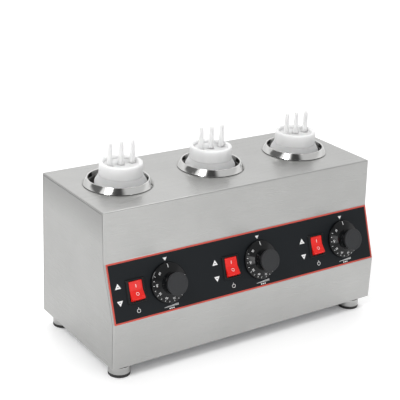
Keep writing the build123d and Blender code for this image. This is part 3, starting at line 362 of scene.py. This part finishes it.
# ------------------------------------------------------------------ mesh helpers
def piece_from(name, points, faces, body, slot, replaced=(), sharp=35.0, material=None):
    """Mesh piece that rides on a body, shaded smooth but for edges sharper than an angle."""
    mesh = bpy.data.meshes.new(name)
    mesh.from_pydata([tuple(p) for p in points], [], faces)
    mesh.validate()
    mesh.shade_smooth()
    mesh.set_sharp_from_angle(angle=math.radians(sharp))
    piece = linked(name, mesh)
    finish(piece, material or slot)
    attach(piece, body)
    if replaced:
        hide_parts(*replaced)
    return piece


def loft_mesh(loops, ends=True):
    """Points and faces of a skin over loops of equally many points; without ends it closes up."""
    count = len(loops[0])
    points = [p for loop in loops for p in loop]
    rows = len(loops) if not ends else len(loops) - 1
    faces = []
    for row in range(rows):
        below, above = row * count, (row + 1) % len(loops) * count
        for i in range(count):
            j = (i + 1) % count
            faces.append((below + i, below + j, above + j, above + i))
    if ends:
        faces.append(tuple(range(count))[::-1])
        faces.append(tuple(range((len(loops) - 1) * count, len(loops) * count)))
    return points, faces


def rounded(corners, steps=5):
    """Outline with its corners rounded; each corner is (x, y, radius), in order round it."""
    outline = []
    for i, (x, y, radius) in enumerate(corners):
        here = Vector((x, y))
        if radius <= 0:
            outline.append(here)
            continue
        before = (Vector(corners[i - 1][:2]) - here).normalized()
        after = (Vector(corners[(i + 1) % len(corners)][:2]) - here).normalized()
        half = before.angle(after) / 2
        centre = here + (before + after).normalized() * (radius / math.sin(half))
        first = here + before * (radius / math.tan(half)) - centre
        last = here + after * (radius / math.tan(half)) - centre
        turn = first.angle_signed(last)
        for step in range(steps + 1):
            outline.append(centre + Matrix.Rotation(-turn * step / steps, 2) @ first)
    return outline


def rectangle(width, height, radius, steps=6):
    """Rounded rectangle about the origin."""
    w, h = width / 2, height / 2
    return rounded([(-w, -h, radius), (w, -h, radius), (w, h, radius), (-w, h, radius)], steps)


def inset(outline, amount):
    """Outline moved inwards by a small amount."""
    moved = []
    for i, point in enumerate(outline):
        along = (outline[(i + 1) % len(outline)] - outline[i - 1]).normalized()
        moved.append(point + Vector((-along.y, along.x)) * amount)
    return moved


def lathe_mesh(profile, place, segments=128):
    """Points and faces of a closed profile of (radius, height) turned about a frame's z axis."""
    loops = []
    for i in range(segments):
        angle = 2 * math.pi * i / segments
        turned = [(r * math.cos(angle), r * math.sin(angle), h) for r, h in profile]
        loops.append([place @ Vector(p) for p in turned])
    return loft_mesh(loops, ends=False)


def together(*meshes):
    """Points and faces of several meshes as one."""
    points, faces = [], []
    for more_points, more_faces in meshes:
        shift = len(points)
        points += more_points
        faces += [tuple(i + shift for i in face) for face in more_faces]
    return points, faces


# ------------------------------------------------------------------ control panel
SWITCH_FROM_KNOB = -55.5 * MM


def panel_frame(zone, dx=0.0, height=0.0):
    """Frame at a knob's foot on the panel: x along +X, y up the slope, z out of the panel."""
    joint = JOINTS["knob_turn_" + zone]
    out = -Vector(joint["axis"]).normalized()
    foot = Vector(joint["pos_m"]) + X_AXIS * dx + out * height
    turn = Matrix((X_AXIS, out.cross(X_AXIS), out)).transposed().to_4x4()
    return Matrix.Translation(foot) @ turn


# Knobs: a waisted grip on a conical dial with a thin skirt
BAND_SLOPE = 3.5 / 9.8
BAND_EDGE_R = 29.3
BAND_EDGE_H = 5.2


def band_height(radius):
    """Height of the dial's cone above the panel at a radius, in millimetres."""
    return BAND_EDGE_H + BAND_SLOPE * (BAND_EDGE_R - radius)


def waist(start, middle, end, steps=14):
    """Quadratic curve from start to end, pulled towards middle."""
    points = []
    for step in range(1, steps):
        t = step / steps
        weights = (1 - t) ** 2, 2 * t * (1 - t), t * t
        points.append([sum(w * p for w, p in zip(weights, way)) for way in zip(start, middle, end)])
    return points


WAIST_FOOT = (16.5, band_height(16.5))
WAIST_PULL = (13.6, 17.5)
GRIP_TOP = (17.3, 27.0)
KNOB_SEGMENTS = 144
knob_corners = [
    (0.02, 29.0, 0), (0.02, 20.2, 0), (3.05, 20.2, 0), (3.05, 3.2, 0), (27.5, 3.2, 0),
    (28.2, 1.2, 0), (31.2, 1.2, 0.5), (30.3, 4.3, 0.6), (29.3, BAND_EDGE_H, 0.5), (*WAIST_FOOT, 0),
]
knob_corners += [(r, h, 0) for r, h in waist(WAIST_FOOT, WAIST_PULL, GRIP_TOP)]
knob_corners += [(*GRIP_TOP, 0), (17.45, 28.95, 1.3), (15.2, 29.0, 0), (14.6, 28.6, 0)]
knob_profile = [(p.x * MM, p.y * MM) for p in rounded(knob_corners, 4)]
for zone in ZONES:
    points, faces = lathe_mesh(knob_profile, panel_frame(zone), KNOB_SEGMENTS)
    piece_from(
        "dial_knob_" + zone, points, faces, "knob_" + zone, "black_plastic", ["knob_" + zone], 28,
        "knob_plastic",
    )

# Numbers round each dial, read from outside it
NUMBER_ANGLES = (44, 89, 122, 154, 187, 218, 251, 284)
NUMBER_R = 23.2
NUMBER_SIZE = 4.5 * MM
NUMBER_RELIEF = 0.05 * MM
FIRST_NUMBER = 30
NUMBER_STEP = 10
for zone in ZONES:
    base = panel_frame(zone)
    written = []
    for i, angle in enumerate(NUMBER_ANGLES):
        text = bpy.data.curves.new("number", "FONT")
        text.body = str(FIRST_NUMBER + NUMBER_STEP * i)
        text.size = NUMBER_SIZE
        text.align_x = "CENTER"
        text.align_y = "CENTER"
        text.extrude = NUMBER_RELIEF
        holder = linked("number", text)
        bpy.context.view_layer.update()
        mesh = bpy.data.meshes.new_from_object(holder)
        spot = (
            Matrix.Rotation(math.radians(angle), 4, "Z")
            @ Matrix.Translation((0, NUMBER_R * MM, band_height(NUMBER_R) * MM))
            @ Matrix.Rotation(-math.atan(BAND_SLOPE), 4, "X")
        )
        points = [base @ spot @ v.co for v in mesh.vertices]
        written.append((points, [tuple(p.vertices) for p in mesh.polygons]))
        bpy.data.objects.remove(holder)
        bpy.data.meshes.remove(mesh)
        bpy.data.curves.remove(text)
    points, faces = together(*written)
    piece_from("dial_numbers_" + zone, points, faces, "knob_" + zone, "print_white")

# Rocker paddles, rounded all round, tilted with the upper half pressed in
PADDLE_R = 15.1
PADDLE_TIP_U = 13.4
PADDLE_TILT = 11.0
PADDLE_WIDTH = 22.0
PADDLE_ROUND = 0.8
PADDLE_AXIS_H = -2.0
tip_h = math.sqrt(PADDLE_R**2 - PADDLE_TIP_U**2)
valley_h = tip_h - PADDLE_TIP_U * math.tan(math.radians(PADDLE_TILT))
foot_h = -2.5
foot_u = math.sqrt(PADDLE_R**2 - foot_h**2)
cheek = [math.radians(a) for a in (-2, 6, 14, 21)]
paddle_corners = [(-foot_u, foot_h, 0), (foot_u, foot_h, 0)]
paddle_corners += [(PADDLE_R * math.cos(a), PADDLE_R * math.sin(a), 0) for a in cheek]
paddle_corners += [(PADDLE_TIP_U, tip_h, 1.0), (0, valley_h, 6.0), (-PADDLE_TIP_U, tip_h, 1.0)]
paddle_corners += [(-PADDLE_R * math.cos(a), PADDLE_R * math.sin(a), 0) for a in cheek[::-1]]
paddle_outline = rounded(paddle_corners, 8)
for zone in ZONES:
    base = panel_frame(zone, SWITCH_FROM_KNOB, PADDLE_AXIS_H * MM)
    tilt = Matrix.Rotation(math.radians(-PADDLE_TILT), 4, "X")
    loops = []
    sweep = [math.radians(a) for a in range(0, 91, 15)]
    ends = [(PADDLE_ROUND * (1 - math.sin(a)), PADDLE_ROUND * (1 - math.cos(a))) for a in sweep]
    stations = [(-PADDLE_WIDTH / 2 + x, cut) for cut, x in ends]
    stations += [(PADDLE_WIDTH / 2 - x, cut) for cut, x in ends[::-1]]
    for x, cut in stations:
        ring = inset(paddle_outline, cut)
        loops.append([base @ tilt @ Vector((x * MM, p.x * MM, p.y * MM)) for p in ring])
    points, faces = loft_mesh(loops)
    piece_from(
        "rocker_paddle_" + zone, points, faces, "rocker_" + zone, "red_plastic",
        ["rocker_" + zone], 40,
    )

# Switch housings: a bevelled bezel with rounded edges round a deep opening
BEZEL_RINGS = [
    # width, height, corner radius, height above the panel
    (26.4, 33.6, 1.5, -20.0),
    (26.4, 33.6, 1.5, 0.4),
    (33.0, 37.0, 2.0, 0.4),
    (32.7, 36.7, 2.0, 0.75),
    (31.5, 35.5, 1.9, 2.05),
    (31.1, 35.1, 1.8, 2.3),
    (30.6, 34.6, 1.7, 2.4),
    (23.8, 31.8, 1.1, 2.4),
    (23.3, 31.3, 1.0, 2.3),
    (23.0, 31.0, 0.9, 2.0),
    (22.8, 30.8, 0.8, 1.4),
    (22.8, 30.8, 0.8, -11.0),
]
for zone in ZONES:
    base = panel_frame(zone, SWITCH_FROM_KNOB)
    loops = []
    for width, height, radius, level in BEZEL_RINGS:
        ring = rectangle(width, height, radius)
        loops.append([base @ Vector((p.x * MM, p.y * MM, level * MM)) for p in ring])
    points, faces = loft_mesh(loops)
    piece_from(
        "switch_bezel_" + zone, points, faces, "chassis", "black_plastic",
        ["switch_housing_" + zone], 30,
    )


# ------------------------------------------------------------------ turned parts
THREAD_TURNS = 1.6
THREAD_START_Z = 273.2
THREAD_PITCH = 4.0
THREAD_STEPS = 160
THREAD_ROOT_R = 30.2
THREAD_CREST_R = 30.68
THREAD_SINK = 0.4
THREAD_ROOT_HALF = 0.9
THREAD_CREST_HALF = 0.35
THREAD_FADES = 8
NOZZLE_SPACING = 19.5
BODY_SEGMENTS = 192
FOOT_SEGMENTS = 96
NOZZLE_SEGMENTS = 48


def turned(corners, x, y, segments=BODY_SEGMENTS):
    """Mesh of a closed profile in millimetres, turned about an upright axis through x, y."""
    profile = [(p.x * MM, p.y * MM) for p in rounded(corners)]
    return lathe_mesh(profile, Matrix.Translation((x, y, 0)), segments)


def neck_thread(x, y):
    """Mesh of the low thread round a bottle's neck, fading out at its two ends."""
    loops = []
    for step in range(THREAD_STEPS + 1):
        part = step / THREAD_STEPS
        angle = 2 * math.pi * THREAD_TURNS * part
        z = THREAD_START_Z + THREAD_PITCH * THREAD_TURNS * part
        full = min(1, THREAD_FADES * part, THREAD_FADES * (1 - part))
        root = THREAD_ROOT_R - THREAD_SINK
        crest = THREAD_ROOT_R + (THREAD_CREST_R - THREAD_ROOT_R) * full
        section = [
            (root, z - THREAD_ROOT_HALF), (crest, z - THREAD_CREST_HALF),
            (crest, z + THREAD_CREST_HALF), (root, z + THREAD_ROOT_HALF),
        ]
        loops.append([
            Vector((x + r * MM * math.cos(angle), y + r * MM * math.sin(angle), h * MM))
            for r, h in section
        ])
    return loft_mesh(loops)


# Outlines of the turned parts: radius, height above the floor and rounding of each corner
RING_CORNERS = [
    (46, 265.7, 0.8), (46, 257, 0), (47, 257, 0), (47, 264.5, 0), (47.4, 264.5, 0),
    (53.1, 256.7, 0), (54.3, 256.7, 0.2), (48, 265.7, 0.8),
]
BOTTLE_CORNERS = [
    (0.02, 103.7, 0), (0.02, 102.5, 0), (32, 102.5, 0), (35, 100, 0), (37, 100, 0),
    (40, 103, 2), (40, 260.6, 5), (34.2, 270.6, 0.3), (30.3, 270.6, 0), (30.3, 281.8, 0.5),
    (28.8, 281.8, 0.5), (28.8, 269.4, 0), (33.6, 269.4, 0), (38.8, 260.2, 0), (38.8, 103.7, 0),
]
CAP_CORNERS = [
    (0.02, 286, 0), (0.02, 283.3, 0), (30.8, 283.3, 0), (30.8, 270.6, 0), (33.8, 270.6, 0.5),
    (33.1, 291, 2.3), (27.3, 291, 2.3), (26.9, 286, 0.8),
]
NOZZLE_CORNERS = [
    (1.5, 322, 0.3), (1.5, 285.9, 0), (5.6, 285.95, 0), (4.45, 287.2, 1.2), (3.0, 322, 0.7),
]
for zone in ZONES:
    low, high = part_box("well_collar_" + zone)
    points, faces = turned(RING_CORNERS, (low[0] + high[0]) / 2, (low[1] + high[1]) / 2)
    piece_from(
        "well_ring_" + zone, points, faces, "chassis", "stainless_polished",
        ["well_collar_" + zone], 30,
    )
    x, y = JOINTS["cap_turn_" + zone]["pos_m"][:2]
    points, faces = together(turned(BOTTLE_CORNERS, x, y), neck_thread(x, y))
    piece_from(
        "squeeze_bottle_" + zone, points, faces, "bottle_" + zone, "bottle_plastic",
        ["bottle_" + zone], 30,
    )
    nozzles = [
        turned(NOZZLE_CORNERS, x + dx * MM, y, NOZZLE_SEGMENTS)
        for dx in (-NOZZLE_SPACING, 0, NOZZLE_SPACING)
    ]
    points, faces = together(turned(CAP_CORNERS, x, y), *nozzles)
    piece_from(
        "nozzle_cap_" + zone, points, faces, "bottle_cap_" + zone, "cap_plastic",
        ["bottle_cap_" + zone], 30,
    )

CUP_R = 17.2
CUP_CORNERS = [
    (3.2, 23, 0), (3.2, 15.3, 0), (15.5, 15.3, 0), (15.7, 5, 0), (CUP_R, 5, 0.3),
    (16.7, 16.5, 1.5), (9, 17.3, 0.5), (8, 23, 0),
]
PAD_CORNERS = [
    (0.02, 8, 0), (0.02, 0, 0), (17, 0, 0.8), (CUP_R, 5, 0.3), (15.6, 5, 0), (15.6, 8, 0),
]
low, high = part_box("foot_cups")
foot_places = [
    (x, y) for x in (low[0] + CUP_R * MM, high[0] - CUP_R * MM)
    for y in (low[1] + CUP_R * MM, high[1] - CUP_R * MM)
]
points, faces = together(*[turned(CUP_CORNERS, x, y, FOOT_SEGMENTS) for x, y in foot_places])
# The cups take the darker, painted-shade copy of polished steel
piece_from(
    "foot_cup_shells", points, faces, "chassis", "stainless_polished", ["foot_cups"], 30,
    "stainless_cup_painted_shade",
)
points, faces = together(*[turned(PAD_CORNERS, x, y, FOOT_SEGMENTS) for x, y in foot_places])
piece_from("foot_pad_rubbers", points, faces, "chassis", "black_rubber", ["foot_pads"], 30)


# ------------------------------------------------------------------ studio
FLOOR_REACH = 14.0
FLOOR_GLOW = 0.20
GLOW_FADE = 0.03

floor_mesh = bpy.data.meshes.new("floor")
corners = [(-1, -1), (1, -1), (1, 1), (-1, 1)]
floor_points = [(FLOOR_REACH * x, FLOOR_REACH * y, 0) for x, y in corners]
floor_mesh.from_pydata(floor_points, [], [(0, 1, 2, 3)])
floor = linked("floor", floor_mesh)
floor_material, floor_tree, floor_shader, floor_place = begin(
    "floor", Roughness=0.7, Emission_Color=(1, 1, 1, 1)
)
floor_cloud = noise(floor_tree, floor_place, 3, 2)
floor_tint = tint(floor_tree, floor_cloud, (0.90, 0.90, 0.90), (0.93, 0.93, 0.93))
floor_tree.links.new(floor_tint, floor_shader.inputs["Base Color"])
# The floor's own faint glow stands in for light from a wide studio, and none gets under the casing: a painted
# contact shadow there
casing_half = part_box("base_plate")[1]
along = put(floor_tree, "ShaderNodeSeparateXYZ", {"Vector": floor_place})
beyond = []
for i, axis in enumerate("XY"):
    reach = put(floor_tree, "ShaderNodeMath", {0: along.outputs[axis]}, operation="ABSOLUTE")
    past = {0: reach.outputs[0], 1: casing_half[i]}
    beyond.append(put(floor_tree, "ShaderNodeMath", past, operation="SUBTRACT").outputs[0])
outside = put(floor_tree, "ShaderNodeMath", dict(enumerate(beyond)), operation="MAXIMUM")
glow = put(
    floor_tree, "ShaderNodeMapRange",
    {
        "Value": outside.outputs[0], "From Min": -GLOW_FADE, "From Max": 0.0,
        "To Min": 0.0, "To Max": FLOOR_GLOW,
    },
    interpolation_type="SMOOTHSTEP",
)
floor_tree.links.new(glow.outputs["Result"], floor_shader.inputs["Emission Strength"])
floor_mesh.materials.append(floor_material)

# The sky is pale low down; above it, soft bands run up it like the walls of a studio
SKY_BANDS = [
    # from and to in azimuth, how softly each ends, how much light is taken away
    (-178, 3, -140, 3, 0.25),
    (-140, 3, -93, 4, 0.85),
    (-51, 4, -8, 12, 0.94),
    (-8, 12, 100, 9, 0.35),
    (100, 9, 178, 3, -0.22),
]
# Height, as the sine of the elevation, over which the bands come in
SKY_BANDS_FROM = 0.30
SKY_BANDS_FULL = 0.45
SKY_LOW = 0.85
SKY_GAIN = 0.25
SKY_GAIN_OVER = 0.5
world = bpy.data.worlds.new("studio")
world.use_nodes = True
bpy.context.scene.world = world
sky = world.node_tree


def sky_math(operation, *values):
    """Result of a math node in the sky."""
    return put(sky, "ShaderNodeMath", dict(enumerate(values)), operation=operation).outputs[0]


def smooth_step(value, start, end):
    """Smooth rise from 0 to 1 between two values, in the sky."""
    return put(
        sky, "ShaderNodeMapRange",
        {"Value": value, "From Min": start, "From Max": end}, interpolation_type="SMOOTHSTEP",
    ).outputs["Result"]


compass = put(sky, "ShaderNodeTexCoord").outputs["Generated"]
split = put(sky, "ShaderNodeSeparateXYZ", {"Vector": compass})
azimuth = sky_math("ARCTAN2", split.outputs["X"], sky_math("MULTIPLY", split.outputs["Y"], -1.0))
azimuth = sky_math("MULTIPLY", azimuth, 180 / math.pi)
light = 1.0
for start, start_blur, end, end_blur, taken in SKY_BANDS:
    inside = sky_math(
        "SUBTRACT",
        smooth_step(azimuth, start - start_blur, start + start_blur),
        smooth_step(azimuth, end - end_blur, end + end_blur),
    )
    light = sky_math("SUBTRACT", light, sky_math("MULTIPLY", inside, taken))
aloft = smooth_step(split.outputs["Z"], SKY_BANDS_FROM, SKY_BANDS_FULL)
gone = sky_math("MULTIPLY", aloft, sky_math("SUBTRACT", 1.0, light))
higher = smooth_step(split.outputs["Z"], 0.0, SKY_GAIN_OVER)
rise = sky_math("MULTIPLY_ADD", higher, SKY_GAIN, SKY_LOW)
sky.links.new(
    sky_math("MULTIPLY", rise, sky_math("SUBTRACT", 1.0, gone)),
    sky.nodes["Background"].inputs["Strength"],
)
sky.nodes["Background"].inputs["Color"].default_value = (1, 1, 1, 1)


def softbox(name, azimuth, elevation, distance, size, power, aim=(0, 0, 0.15)):
    """Rectangular light aimed at a point of the object, from a direction and a distance."""
    data = bpy.data.lights.new(name, "AREA")
    data.shape = "RECTANGLE"
    data.size, data.size_y = size
    data.energy = power
    lamp = linked(name, data)
    away = direction(azimuth, elevation)
    lamp.matrix_world = Matrix.Translation(away * distance + Vector(aim)) @ facing(away)
    lamp.visible_camera = False


softbox("key", -68, 43, 2.6, (0.62, 1.2), 30)
softbox("back", 150, 58, 2.8, (1.6, 0.8), 14)
# Two small lights that show in the gloss of the dials
softbox("dial_middle", 0, 17, 0.7, (0.08, 0.26), 0.27, (-0.035, -0.1, 0.12))
softbox("dial_right", 0, 17, 0.7, (0.08, 0.26), 0.20, (0.19, -0.1, 0.12))
